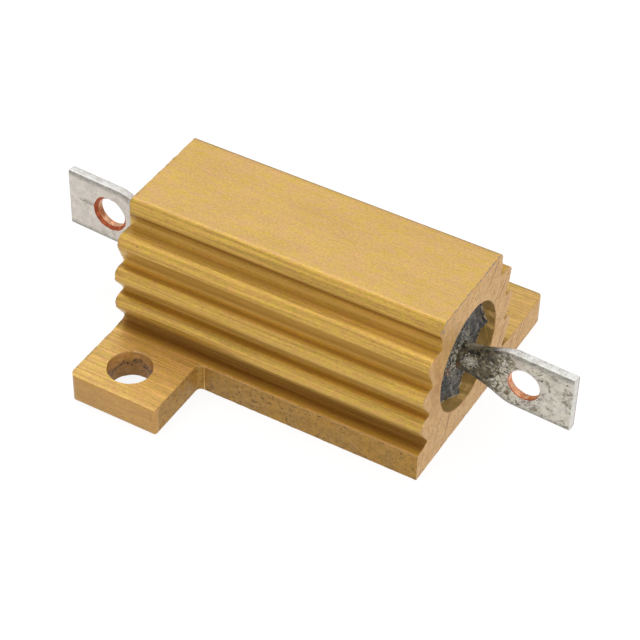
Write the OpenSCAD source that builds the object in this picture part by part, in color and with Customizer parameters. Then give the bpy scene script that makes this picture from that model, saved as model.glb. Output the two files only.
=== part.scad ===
// Aluminium housed wirewound power resistor with two diagonal mounting tabs.
// Millimetres. X runs along the resistor, Y across it, Z up from the mounting face.
// The origin lies on the mounting face, midway between the two mounting holes.

/* [Housing extrusion] */
// Length of the extruded housing
housing_l = 26.85; // [20:0.1:45]
// Height from the mounting face to the flat top
housing_h = 13.35; // [12:0.1:18]
// Width of the base between the tabs
base_w = 15.1; // [14.8:0.1:20]
// Thickness of the base flange and its tabs
flange_t = 2.5; // [1.6:0.05:2.55]
// Width over the ridges of the flat top
top_w = 9.6; // [9.4:0.1:11]
// Radius along the two top edges
top_edge_r = 0.5; // [0.2:0.05:1]
// Diameter of the bore
bore_d = 8.9; // [8.4:0.05:9.2]
// Height of the bore's axis above the mounting face
bore_z = 6.55; // [6.2:0.05:6.9]

/* [Cooling fins] */
// Depth of each fin's upper face below the flat top, top fin first
fin_depth = [2.4, 5.2, 7.85]; // [2.3:0.01:8]
// How far each fin reaches from the centre plane
fin_reach = [6.57, 7.2, 7.25]; // [6.5:0.01:7.5]
// Drop from each fin's upper face to the middle of its nose
fin_nose_drop = [0.85, 0.8, 0.85]; // [0.5:0.01:1.2]
// Distance of each groove floor from the centre plane, top groove first
groove_y = [4.7, 5.85, 6.1, 6.15]; // [4.6:0.01:6.3]
// Height of each groove's flat floor
groove_floor = 0.25; // [0.1:0.05:0.4]
// Radius of each fin's convex shoulder
shoulder_r = 0.75; // [0.4:0.05:0.8]
// Radius of each fin's nose
nose_r = 0.3; // [0.1:0.05:0.35]

/* [Mounting tabs] */
// Width over the two tabs
tab_span = 27.43; // [25:0.1:34]
// Length of each tab along the housing
tab_l = 7.8; // [6.5:0.05:10]
// Radius of the edges along a tab's outer side
tab_edge_r = 0.25; // [0.1:0.05:0.6]
// Radius of the corner where a tab meets the base
tab_corner_r = 0.45; // [0.2:0.05:1.2]
// Diameter of each mounting hole
hole_d = 3.54; // [2.5:0.01:4.2]
// Distance of a mounting hole from the housing's end
hole_from_end = 3.55; // [3:0.05:4]
// Distance of a mounting hole from the tab's outer side
hole_from_side = 3.13; // [2.8:0.01:3.4]

/* [Terminals] */
// How far each terminal stands out of the housing
terminal_out = 9.05; // [9:0.05:14]
// Diameter of the round stem
stem_d = 2.2; // [1.8:0.05:2.6]
// Height of the right-hand blade
blade_right_w = 5.0; // [4.6:0.05:6.5]
// Height of the left-hand blade, flattened a little further
blade_left_w = 5.35; // [4.6:0.05:6.5]
// Thickness of the flattened blade
blade_t = 0.8; // [0.5:0.05:1.2]
// Radius of the blade's long edges
blade_edge_r = 0.25; // [0.1:0.01:0.25]
// Length of the blade at its full height
blade_l = 4.8; // [4.2:0.1:4.8]
// Length over which the stem flares into the blade
flare_l = 4.5; // [2:0.1:4.6]
// Diameter of the hole in each blade
eye_d = 2.62; // [1.5:0.02:3.2]
// Distance of the hole from the blade's tip
eye_from_tip = 4.0; // [3.2:0.05:4.1]
// Depth of the break round the hole's outer rim
eye_break = 0.25; // [0.05:0.05:0.3]
// Sideways set of the right-hand blade, in degrees
set_right = 3; // [0:0.1:8]
// Sideways set of the left-hand blade, in degrees
set_left = 3; // [0:0.1:8]

/* [Resistance element] */
// Diameter of the ceramic core
core_d = 5.2; // [4:0.05:5.4]
// Diameter of the resistance wire
wire_d = 0.32; // [0.2:0.02:0.4]
// Pitch of the winding
wire_pitch = 0.72; // [0.6:0.02:1.2]
// Wall of the end caps
cap_wall = 0.3; // [0.2:0.05:0.4]
// Length of an end cap's skirt over the core
cap_skirt = 2.6; // [1.5:0.1:3.5]
// Depth of the moulding compound behind the housing's ends
compound_recess = 0.72; // [0.3:0.02:1.5]
// Thickness of compound over each end cap
compound_cover = 2.4; // [1.5:0.1:3.5]
// Height of the compound's collar round each stem
collar_h = 0.35; // [0.1:0.05:0.5]
// Radial thickness of that collar where it meets the end face
collar_t = 0.9; // [0.3:0.05:1.5]
// Shift of the whole element along the bore
element_shift = -0.15; // [-0.4:0.05:0.4]

/* [Hidden] */

$fn = 96;
cut = 1;                 // how far a cutting tool passes the faces it cuts
press_gap = 0.02;        // clearance where one piece is pressed or moulded on another
wire_gap = 0.05;         // room for the wire, which is wound as a many-sided path
least = 0.005;           // half of the flat left in a section that is nearly round
rib_lean = 0.1;          // how far the top rib leans in from its nose to its upper edge
collar_lip = 0.1;        // width of the compound's collar at its top
arc_steps = 6;           // straight steps in a quarter turn of the outline
turn_steps = 22;         // steps in one turn of the winding
wire_sides = 6;          // sides of the wire's section
flare_steps = 9;         // sections along a terminal's flare
edge_steps = 4;          // steps round one edge of a terminal's section

half_l = housing_l / 2;
fin_top = [for (d = fin_depth) housing_h - d];   // height of each fin's upper face
hole_x = half_l - hole_from_end;
hole_y = tab_span / 2 - hole_from_side;

compound_half = half_l - compound_recess;
cap_face = compound_half - compound_cover;       // outer face of an end cap
core_half = cap_face - cap_wall - press_gap;
cap_rim = cap_face - cap_wall - cap_skirt;       // inner end of an end cap's skirt
cap_r = core_d / 2 + press_gap + cap_wall;       // outer radius of an end cap

wire_r = wire_d / 2;
coil_r = core_d / 2 + wire_gap + wire_r;         // radius of the winding's centre line
lap_r = cap_r + wire_gap + wire_r;               // the same where the wire laps a cap
lap_l = cap_skirt / 2;                           // how far the wire laps each cap
coil_half = cap_rim + lap_l;
climb_x = cap_rim - 1.5 * wire_pitch;            // where the wire starts to climb to the cap
coil_room = coil_r + wire_r + wire_gap;          // radius of the compound's cavity
lap_room = lap_r + wire_r + wire_gap;            // the same over the laps

stem_r = stem_d / 2;
tip_x = half_l + terminal_out;
blade_x = tip_x - blade_l;                       // inner end of the full blade
flare_x = blade_x - flare_l;                     // inner end of the flare
eye_x = tip_x - eye_from_tip;
bend_l = flare_l / 3;                            // length of the bend, from the flare's start

// ---------------------------------------------------------------- helpers

// Points of an arc about c, from angle a to angle b.
function arc(c, r, a, b, n = arc_steps) =
    [for (i = [0:n]) let (t = a + (b - a) * i / n) c + r * [cos(t), sin(t)]];

// Angle at which a line from point p, passing below a circle, touches that circle.
function touch_angle(p, c, r) =
    let (d = c - p) atan2(d[1], d[0]) - asin(r / norm(d)) - 90;

function mix(a, b, t) = a + (b - a) * t;
function clamp01(t) = min(1, max(0, t));
function ease(t) = let (u = clamp01(t)) u * u * (3 - 2 * u);

// Lays an outline drawn in Y and Z out along X, centred on the middle of the part.
module along_x(length) {
    rotate([90, 0, 90]) linear_extrude(length, center = true) children();
}

// Places one of two like pieces at the right-hand end (side 0) or the left-hand end (side 1).
module at_end(side) {
    rotate([0, 0, 180 * side]) children();
}

// Everything in the bore is carried on its axis, a little off the middle of the housing.
module on_bore_axis() {
    translate([element_shift, 0, bore_z]) children();
}

// Skins a list of closed rings of points, all with the same number of points.
module skin(rings) {
    n = len(rings[0]);
    last = len(rings) - 1;
    polyhedron(
        points = [for (ring = rings) each ring],
        faces = concat(
            [[for (i = [0:n - 1]) i]],
            [for (k = [0:last - 1], i = [0:n - 1])
                let (j = (i + 1) % n)
                each [[k * n + i, (k + 1) * n + i, (k + 1) * n + j],
                      [k * n + i, (k + 1) * n + j, k * n + j]]],
            [[for (i = [n - 1:-1:0]) last * n + i]]
        )
    );
}

// ---------------------------------------------------------------- housing

// One fin, from the groove floor under it to the groove floor over it. The underside runs
// straight from the lower groove to a round nose, and a wide round shoulder leads to the top.
function fin(k, foot) =
    let (
        nose = [fin_reach[k] - nose_r, fin_top[k] - fin_nose_drop[k]],
        shoulder = [fin_reach[k] - shoulder_r, fin_top[k] - shoulder_r]
    )
    concat(
        [foot],
        arc(nose, nose_r, touch_angle(foot, nose, nose_r), 0),
        arc(shoulder, shoulder_r, max(0, asin((nose[1] - shoulder[1]) / shoulder_r)), 90),
        [[groove_y[k], fin_top[k]]]
    );

// The flange slopes gently up to the lowest groove.
function flange_edge() = [
    [base_w / 2, 0],
    [base_w / 2, flange_t],
    [groove_y[3] + groove_floor, flange_t + groove_floor / 2],
    [groove_y[3], flange_t + groove_floor]
];

// The flat top rib: a small nose over the uppermost groove and a rounded top edge.
function top_rib() =
    let (
        foot = [groove_y[0], fin_top[0] + 3 * groove_floor],
        nose = [top_w / 2 - nose_r, foot[1] + 2 * groove_floor],
        edge = [top_w / 2 - rib_lean - top_edge_r, housing_h - top_edge_r]
    )
    concat(
        [foot],
        arc(nose, nose_r, touch_angle(foot, nose, nose_r), 0),
        arc(edge, top_edge_r, 0, 90)
    );

// Outline of the right-hand half of the section, from the middle of the base to the top.
function half_section() = concat(
    [[0, 0]],
    flange_edge(),
    fin(2, [groove_y[3], flange_t + 2 * groove_floor]),
    fin(1, [groove_y[2], fin_top[2] + groove_floor]),
    fin(0, [groove_y[1], fin_top[1] + groove_floor]),
    top_rib(),
    [[0, housing_h]]
);

module housing_section() {
    right = half_section();
    left = [for (i = [len(right) - 1:-1:0]) [-right[i][0], right[i][1]]];
    polygon(concat(right, [for (i = [1:len(left) - 2]) left[i]]));
}

// What the mill leaves of the flange at one end: a tab with its inner corner rounded.
module tab() {
    reach = tab_span / 2;
    inner = half_l - tab_l;
    root = base_w / 2;
    translate([inner, 0, 0])
        cube([tab_l, reach - tab_edge_r, flange_t]);
    translate([inner, 0, tab_edge_r])
        cube([tab_l, reach, flange_t - 2 * tab_edge_r]);
    for (z = [tab_edge_r, flange_t - tab_edge_r])
        translate([inner, reach - tab_edge_r, z])
            rotate([0, 90, 0]) cylinder(h = tab_l, r = tab_edge_r);
    difference() {
        translate([inner - tab_corner_r, 0, 0])
            cube([tab_corner_r, root + tab_corner_r, flange_t]);
        translate([inner - tab_corner_r, root + tab_corner_r, -cut])
            cylinder(h = flange_t + 2 * cut, r = tab_corner_r);
    }
}

// One extrusion, gold anodised, with two diagonal tabs left by milling the flange away.
module housing() {
    color("#c99a45") difference() {
        union() {
            along_x(housing_l) housing_section();
            for (side = [0, 1]) at_end(side) tab();
        }
        translate([0, 0, bore_z]) rotate([0, 90, 0])
            cylinder(h = housing_l + 2 * cut, d = bore_d, center = true);
        for (side = [0, 1]) at_end(side)
            translate([hole_x, hole_y, -cut]) cylinder(h = flange_t + 2 * cut, d = hole_d);
    }
}

// ---------------------------------------------------------------- resistance element

// Plain ceramic rod that carries the winding.
module core() {
    color("#e8e4da") on_bore_axis() rotate([0, 90, 0])
        cylinder(h = 2 * core_half, d = core_d, center = true);
}

// Drawn steel cup pressed over one end of the core.
module end_cap(side) {
    color("#a9abad") on_bore_axis() at_end(side) rotate([0, 90, 0]) difference() {
        translate([0, 0, cap_rim]) cylinder(h = cap_face - cap_rim, r = cap_r);
        translate([0, 0, cap_rim - cut])
            cylinder(h = cap_skirt + cut, r = core_d / 2 + press_gap);
    }
}

// Radius of the wire's centre line at x: it climbs from the core onto each cap's skirt.
function wire_path_r(x) =
    mix(coil_r, lap_r, ease((abs(x) - climb_x) / wire_pitch));

// Resistance wire in one open helix, with its last turns lapped over the end caps.
module winding() {
    steps = round(2 * coil_half / wire_pitch * turn_steps);
    color("#8f8a80") on_bore_axis() skin([
        for (i = [0:steps])
            let (
                x = mix(-coil_half, coil_half, i / steps),
                a = 360 * i / turn_steps,
                out = [0, cos(a), sin(a)]
            )
            [for (j = [0:wire_sides - 1])
                let (b = 360 * j / wire_sides)
                [x, 0, 0] + (wire_path_r(x) + wire_r * cos(b)) * out + [wire_r * sin(b), 0, 0]]
    ]);
}

// ---------------------------------------------------------------- terminals

// Section of a terminal at x, as half thickness, half height and edge radius, for a blade of
// height w. The flattened rod's area goes evenly from the round stem's to the blade's.
function terminal_size(x, w) =
    let (
        t = ease((x - flare_x) / flare_l),
        half_w = mix(stem_r, w / 2, t),
        edge_r = mix(stem_r, blade_edge_r, t),
        corner = 4 - PI,
        area = mix(PI * stem_r * stem_r,
                   w * blade_t - corner * blade_edge_r * blade_edge_r, t),
        half_t = (area + corner * edge_r * edge_r) / (4 * half_w)
    )
    [half_t, half_w, min(edge_r, half_t)];

// Sideways slope and offset of a terminal's centre line at x, for a set of the given angle.
function bend_slope(x, angle) = tan(angle) * clamp01((x - flare_x) / bend_l);
function bend_offset(x, angle) =
    let (d = max(0, x - flare_x), bent = min(d, bend_l))
    tan(angle) * (bent * bent / (2 * bend_l) + d - bent);

// Closed ring of points round a terminal at x, square to its centre line.
function terminal_ring(x, w, angle) =
    let (
        size = terminal_size(x, w),
        corner = [size[0] - size[2], size[1] - size[2]],
        slope = bend_slope(x, angle),
        across = [slope, 1] / norm([1, slope]),
        middle = bend_offset(x, angle)
    )
    [for (q = [0:3], i = [0:edge_steps])
        let (
            a = 90 * (q + i / edge_steps),
            y = (q == 0 || q == 3 ? 1 : -1) * max(corner[0], least) + size[2] * cos(a),
            z = (q < 2 ? 1 : -1) * max(corner[1], least) + size[2] * sin(a)
        )
        [x + y * across[0], -middle + y * across[1], z]];

// Tinned copper rod with its outer end flattened into a blade, square cut and pierced. The
// hole's rim is broken on one side only.
module terminal(side, w, angle) {
    at_end(side) difference() {
        union() {
            translate([cap_face, 0, 0]) rotate([0, 90, 0])
                cylinder(h = flare_x - cap_face, d = stem_d);
            skin(concat(
                [for (i = [0:flare_steps])
                    terminal_ring(mix(flare_x, blade_x, i / flare_steps), w, angle)],
                [terminal_ring(tip_x, w, angle)]
            ));
        }
        translate([eye_x, -bend_offset(eye_x, angle), 0]) rotate([-90, 0, -angle]) {
            cylinder(h = stem_d, d = eye_d, center = true);
            translate([0, 0, blade_t / 2 - eye_break])
                cylinder(h = 2 * eye_break, r1 = eye_d / 2, r2 = eye_d / 2 + 2 * eye_break);
        }
    }
}

module terminal_right() {
    color("#bcb7b8") on_bore_axis() terminal(0, blade_right_w, set_right);
}

module terminal_left() {
    color("#bcb7b8") on_bore_axis() terminal(1, blade_left_w, set_left);
}

// ---------------------------------------------------------------- moulding

// Black compound that fills the bore round the element. Its ends lie a little inside the
// housing, and each creeps up the stem in a small collar.
module encapsulant() {
    outer_r = bore_d / 2 - press_gap;
    stem_room = stem_r + press_gap;
    cap_room = cap_r + press_gap;
    collar_r = stem_room + collar_t;
    half = concat(
        [[coil_room, 0], [coil_room, climb_x - wire_pitch / 2], [lap_room, climb_x + wire_pitch / 2]],
        [[lap_room, coil_half + wire_r + wire_gap], [cap_room, coil_half + wire_r + wire_gap]],
        [[cap_room, cap_face], [stem_room, cap_face], [stem_room, compound_half + collar_h]],
        [for (i = [0:arc_steps])
            let (a = 90 * i / arc_steps)
            [collar_r - (collar_t - collar_lip) * cos(a), compound_half + collar_h * (1 - sin(a))]],
        [[outer_r, compound_half], [outer_r, 0]]
    );
    color("#232323") on_bore_axis() rotate([0, 90, 0]) for (side = [0, 1])
        mirror([0, 0, side]) rotate_extrude() polygon(half);
}

housing();
encapsulant();
core();
winding();
end_cap(1);  // end_cap_left
end_cap(0);  // end_cap_right
terminal_left();
terminal_right();
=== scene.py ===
"""Looks of an aluminium housed wirewound resistor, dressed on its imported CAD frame.

Lengths in this file are millimetres, and become metres where a mesh or a node takes them. X runs
along the resistor, Y across it and Z up from the mounting face.
"""

import logging
import math
from dataclasses import dataclass, field, replace
from enum import Enum, IntEnum
from typing import Callable, Sequence

import bmesh
import bpy
import numpy as np
from mathutils import Matrix, Vector, noise


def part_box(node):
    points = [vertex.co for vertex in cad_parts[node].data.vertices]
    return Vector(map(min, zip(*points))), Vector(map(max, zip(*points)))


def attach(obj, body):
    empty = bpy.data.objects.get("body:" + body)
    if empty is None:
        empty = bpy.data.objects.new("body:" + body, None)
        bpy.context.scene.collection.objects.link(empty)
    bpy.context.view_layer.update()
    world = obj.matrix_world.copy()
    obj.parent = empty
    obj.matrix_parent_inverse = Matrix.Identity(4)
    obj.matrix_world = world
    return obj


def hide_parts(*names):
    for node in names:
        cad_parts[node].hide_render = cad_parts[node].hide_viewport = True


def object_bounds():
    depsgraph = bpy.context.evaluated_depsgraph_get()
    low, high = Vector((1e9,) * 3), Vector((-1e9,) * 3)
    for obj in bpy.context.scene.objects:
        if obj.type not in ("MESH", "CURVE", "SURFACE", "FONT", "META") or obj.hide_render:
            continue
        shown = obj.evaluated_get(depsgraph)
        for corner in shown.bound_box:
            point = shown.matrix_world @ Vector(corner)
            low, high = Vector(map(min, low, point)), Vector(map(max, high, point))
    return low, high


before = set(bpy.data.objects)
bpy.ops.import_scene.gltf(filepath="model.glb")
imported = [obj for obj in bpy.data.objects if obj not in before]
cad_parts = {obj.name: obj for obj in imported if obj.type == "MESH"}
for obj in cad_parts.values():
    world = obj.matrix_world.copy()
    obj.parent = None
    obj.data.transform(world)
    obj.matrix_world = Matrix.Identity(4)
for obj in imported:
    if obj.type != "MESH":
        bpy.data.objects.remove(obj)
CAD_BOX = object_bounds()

log = logging.getLogger("resistor")
MM = 0.001
EVEN = (1.0, 1.0, 1.0)
Flat = tuple[float, float]
Point = tuple[float, float, float]
Object = bpy.types.Object
Tree = bpy.types.NodeTree
Socket = bpy.types.NodeSocket


# ------------------------------------------------------------------ small tools


def linear(colour: str) -> tuple[float, float, float, float]:
    """Turns an sRGB hex colour into linear RGBA.

    Args:
        colour: six hex digits after a hash.

    Returns:
        The linear colour with full alpha.
    """
    parts = [int(colour[i : i + 2], 16) / 255 for i in (1, 3, 5)]
    lin = [c / 12.92 if c <= 0.04045 else ((c + 0.055) / 1.055) ** 2.4 for c in parts]
    return (lin[0], lin[1], lin[2], 1.0)


def add(tree: Tree, kind: str, sockets: dict[str | int, object] | None = None,
        **settings: object) -> bpy.types.Node:
    """Adds one node with its settings, values and links.

    Args:
        tree: the tree that gets the node.
        kind: the node's type name.
        sockets: input name or index to a value, or to an output socket to link from.
        settings: properties of the node.

    Returns:
        The new node.
    """
    made = tree.nodes.new(kind)
    for name, value in settings.items():
        setattr(made, name, value)
    for key, value in (sockets or {}).items():
        if isinstance(value, Socket):
            tree.links.new(value, made.inputs[key])
        else:
            made.inputs[key].default_value = value
    return made


def rough(point: Sequence[float], size: float, seed: float) -> float:
    """Gives a smooth random value from about -1 to 1 at a point.

    Args:
        point: a place.
        size: width of the pattern's features.
        seed: moves the pattern, so that two uses differ.

    Returns:
        The value there.
    """
    at = Vector((point[0] / size + seed, point[1] / size - seed, point[2] / size + 2 * seed))
    return noise.fractal(at, 0.6, 2.0, 3)


def mix(a: float, b: float, t: float) -> float:
    """Gives the value a share t of the way from a to b."""
    return a + (b - a) * t


def ease(t: float) -> float:
    """Gives a smooth step from 0 to 1."""
    u = min(1.0, max(0.0, t))
    return u * u * (3 - 2 * u)


def arc(cy: float, cz: float, r: float, start: float, end: float, steps: int) -> list[Flat]:
    """Gives the points of an arc.

    Args:
        cy: the centre's first coordinate.
        cz: the centre's second coordinate.
        r: radius.
        start: first angle, in degrees.
        end: last angle, in degrees.
        steps: number of straight steps.

    Returns:
        The points.
    """
    angles = [math.radians(mix(start, end, i / steps)) for i in range(steps + 1)]
    return [(cy + r * math.cos(a), cz + r * math.sin(a)) for a in angles]


def circle(sides: int) -> list[Flat]:
    """Gives evenly spaced points round a circle of radius 1."""
    angles = [2 * math.pi * i / sides for i in range(sides)]
    return [(math.cos(a), math.sin(a)) for a in angles]


def mesh_object(name: str, points: Sequence[Sequence[float]],
                faces: Sequence[Sequence[int]]) -> Object:
    """Makes a mesh object at the origin.

    Args:
        name: the object's name.
        points: its corners.
        faces: corner numbers of each face.

    Returns:
        The new object, linked to the scene.
    """
    mesh = bpy.data.meshes.new(name)
    corners = [tuple(float(c) * MM for c in p) for p in points]
    mesh.from_pydata(corners, [], [tuple(f) for f in faces])
    mesh.update()
    made = bpy.data.objects.new(name, mesh)
    bpy.context.scene.collection.objects.link(made)
    return made


def lofted(name: str, rings: Sequence[Sequence[Point]], loop: bool = False,
           inside_out: bool = False) -> Object:
    """Makes a closed mesh over a row of rings of points.

    Args:
        name: the object's name.
        rings: the rings, which run counter-clockwise seen from beyond the last one.
        loop: whether the last ring joins the first; otherwise each end gets one face.
        inside_out: whether the rings run the other way round.

    Returns:
        The new object.
    """
    sides, count = len(rings[0]), len(rings)
    faces: list[Sequence[int]] = []
    for k in range(count if loop else count - 1):
        m = (k + 1) % count
        for i in range(sides):
            j = (i + 1) % sides
            faces.append((k * sides + i, k * sides + j, m * sides + j, m * sides + i))
    if not loop:
        faces.append(range(sides - 1, -1, -1))
        faces.append(range((count - 1) * sides, count * sides))
    if inside_out:
        faces = [face[::-1] for face in faces]
    return mesh_object(name, [p for ring in rings for p in ring], faces)


def plain_mesh(piece: Object) -> None:
    """Turns what the modifiers of a piece make into its own mesh, and removes them.

    Args:
        piece: a mesh object.
    """
    bpy.context.view_layer.update()
    graph = bpy.context.evaluated_depsgraph_get()
    made = bpy.data.meshes.new_from_object(piece.evaluated_get(graph))
    piece.modifiers.clear()
    piece.data = made


def carve(body: Object, cutter: Object) -> None:
    """Cuts one closed mesh out of another, and removes the cutter.

    Args:
        body: the piece that is cut.
        cutter: the shape of the tool.
    """
    cut = body.modifiers.new("cut", "BOOLEAN")
    cut.operation = "DIFFERENCE"
    cut.solver = "EXACT"
    cut.object = cutter
    plain_mesh(body)
    bpy.data.objects.remove(cutter)


def mend(piece: Object) -> None:
    """Closes the pinholes that a cut leaves where two of its edges nearly meet.

    Args:
        piece: a mesh object.
    """
    shape = bmesh.new()
    shape.from_mesh(piece.data)
    loose = [v for v in shape.verts if any(len(e.link_faces) != 2 for e in v.link_edges)]
    bmesh.ops.remove_doubles(shape, verts=loose, dist=0.08 * MM)
    shape.to_mesh(piece.data)
    shape.free()


def smooth_by_angle(piece: Object, degrees: float) -> None:
    """Shades a piece smooth, with its sharper edges kept sharp.

    Args:
        piece: a mesh object.
        degrees: the largest angle that is smoothed over.
    """
    shape = bmesh.new()
    shape.from_mesh(piece.data)
    bmesh.ops.remove_doubles(shape, verts=shape.verts, dist=0.0005 * MM)
    for face in shape.faces:
        face.smooth = True
    sharp = math.radians(degrees)
    for edge in shape.edges:
        edge.smooth = len(edge.link_faces) == 2 and edge.calc_face_angle(0.0) < sharp
    shape.to_mesh(piece.data)
    shape.free()


def mark_points(piece: Object, marks_at: Callable[[Vector], dict[str, float]]) -> None:
    """Gives every point of a piece its named values.

    Args:
        piece: a mesh object.
        marks_at: works the values out from the point's place.
    """
    rows = [marks_at(v.co / MM) for v in piece.data.vertices]
    for name in rows[0]:
        made = piece.data.attributes.new(name, "FLOAT", "POINT")
        made.data.foreach_set("value", [row[name] for row in rows])


def run_tree(piece: Object, tree: Tree, values: dict[str, object]) -> None:
    """Runs a geometry tree on a piece and keeps the result as its plain mesh.

    Args:
        piece: the object that carries the tree.
        tree: the tree.
        values: input name to value.
    """
    modifier = piece.modifiers.new(tree.name, "NODES")
    modifier.node_group = tree
    for item in tree.interface.items_tree:
        if item.in_out == "INPUT" and item.name in values:
            modifier[item.identifier] = values[item.name]
    plain_mesh(piece)


def new_tree(name: str, inputs: dict[str, str]) -> tuple[Tree, bpy.types.Node, bpy.types.Node]:
    """Starts a geometry tree.

    Args:
        name: the tree's name.
        inputs: name to socket type of each input after the geometry.

    Returns:
        The tree, its group input and its group output.
    """
    tree = bpy.data.node_groups.new(name, "GeometryNodeTree")
    for side in ("INPUT", "OUTPUT"):
        tree.interface.new_socket("Geometry", in_out=side, socket_type="NodeSocketGeometry")
    for label, kind in inputs.items():
        tree.interface.new_socket(label, in_out="INPUT", socket_type=kind)
    return tree, add(tree, "NodeGroupInput"), add(tree, "NodeGroupOutput")


# ------------------------------------------------------------------ finishes


@dataclass
class Paint:
    """A material in the making, and the patterns by which its coats of colour are laid."""

    name: str
    made: bpy.types.Material = field(init=False)
    tree: Tree = field(init=False)
    coords: Socket = field(init=False)

    def __post_init__(self) -> None:
        """Starts the material's tree with the piece's own coordinates."""
        self.made = bpy.data.materials.new(self.name)
        self.made.use_nodes = True
        self.tree = self.made.node_tree
        self.tree.nodes.clear()
        self.coords = add(self.tree, "ShaderNodeTexCoord").outputs["Object"]

    def grain(self, size: float, detail: float, low: float, high: float, stretch: Point = EVEN,
              stir: float = 0.0, coords: Socket | None = None) -> Socket:
        """Lays a noise pattern of a real size over the piece.

        Args:
            size: width of its features.
            detail: number of finer layers.
            low: value of the noise that gives 0.
            high: value of the noise that gives 1.
            stretch: how many times longer it is along X, Y and Z.
            stir: how far it is distorted.
            coords: coordinates to use in place of the piece's own.

        Returns:
            A value from 0 to 1.
        """
        placed = add(self.tree, "ShaderNodeMapping", {
            "Vector": self.coords if coords is None else coords,
            "Scale": tuple(1 / (MM * size * s) for s in stretch)}).outputs[0]
        pattern = add(self.tree, "ShaderNodeTexNoise", {
            "Vector": placed, "Scale": 1.0, "Detail": detail, "Roughness": 0.62,
            "Distortion": stir}).outputs["Fac"]
        return add(self.tree, "ShaderNodeMapRange", {
            "Value": pattern, "From Min": low, "From Max": high}).outputs[0]

    def near(self, centre: Point, reach: Point) -> Socket:
        """Gives 1 at a place on the piece, falling to 0 at the edge of a soft blob round it.

        Args:
            centre: the blob's middle.
            reach: its half sizes along X, Y and Z.

        Returns:
            A value from 0 to 1.
        """
        moved = add(self.tree, "ShaderNodeMapping", {
            "Vector": self.coords, "Location": tuple(-c / r for c, r in zip(centre, reach)),
            "Scale": tuple(1 / (MM * r) for r in reach)}).outputs[0]
        away = add(self.tree, "ShaderNodeVectorMath", {0: moved}, operation="LENGTH")
        return add(self.tree, "ShaderNodeMapRange", {
            "Value": away.outputs["Value"], "From Min": 1.0, "From Max": 0.2},
            interpolation_type="SMOOTHSTEP").outputs[0]

    def total(self, start: float, *terms: tuple[Socket, float]) -> Socket:
        """Adds up a start and weighted values.

        Args:
            start: the constant.
            terms: value and weight of each.

        Returns:
            The sum.
        """
        result: object = start
        for value, weight in terms:
            result = add(self.tree, "ShaderNodeMath", {0: value, 1: weight, 2: result},
                         operation="MULTIPLY_ADD").outputs[0]
        return result

    def toned(self, skin: Socket, start: float, *terms: tuple[Socket, float]) -> Socket:
        """Makes a colour lighter or darker.

        Args:
            skin: the colour.
            start: the constant of a total that lies round 1.
            terms: value and weight of each of its patterns.

        Returns:
            The toned colour.
        """
        level = self.total(start, *terms)
        return add(self.tree, "ShaderNodeVectorMath", {0: skin, "Scale": level},
                   operation="SCALE").outputs[0]

    def over(self, ground: Socket | str, *coats: tuple) -> Socket:
        """Lays coats of colour over a ground.

        Args:
            ground: the first colour, hex or socket.
            coats: for each, its colour and then the values whose product is its share, from
                0 for none to 1 for all of it.

        Returns:
            The colour with all its coats.
        """
        skin = ground
        for colour, share, *others in coats:
            for other in others:
                share = add(self.tree, "ShaderNodeMath", {0: share, 1: other},
                            operation="MULTIPLY", use_clamp=True).outputs[0]
            under, upper = (linear(c) if isinstance(c, str) else c for c in (skin, colour))
            skin = add(self.tree, "ShaderNodeMix", {0: share, 6: under, 7: upper},
                       data_type="RGBA").outputs[2]
        return skin

    def finish(self, skin: Socket, roughness: Socket | float, metallic: Socket | float,
               height: Socket | None = None, strength: float = 0.0,
               relief: float = 0.0) -> bpy.types.Material:
        """Puts the colour on a Principled shader and closes the material.

        Args:
            skin: the colour.
            roughness: how matt it is.
            metallic: how far it shines like metal.
            height: the pattern of its relief.
            strength: how strongly that shows.
            relief: the pattern's depth.

        Returns:
            The material.
        """
        values: dict[str | int, object] = {
            "Base Color": skin, "Roughness": roughness, "Metallic": metallic}
        if height is not None:
            values["Normal"] = add(self.tree, "ShaderNodeBump", {
                "Height": height, "Strength": strength, "Distance": relief * MM}).outputs[0]
        shader = add(self.tree, "ShaderNodeBsdfPrincipled", values).outputs["BSDF"]
        add(self.tree, "ShaderNodeOutputMaterial", {"Surface": shader})
        return self.made


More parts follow.
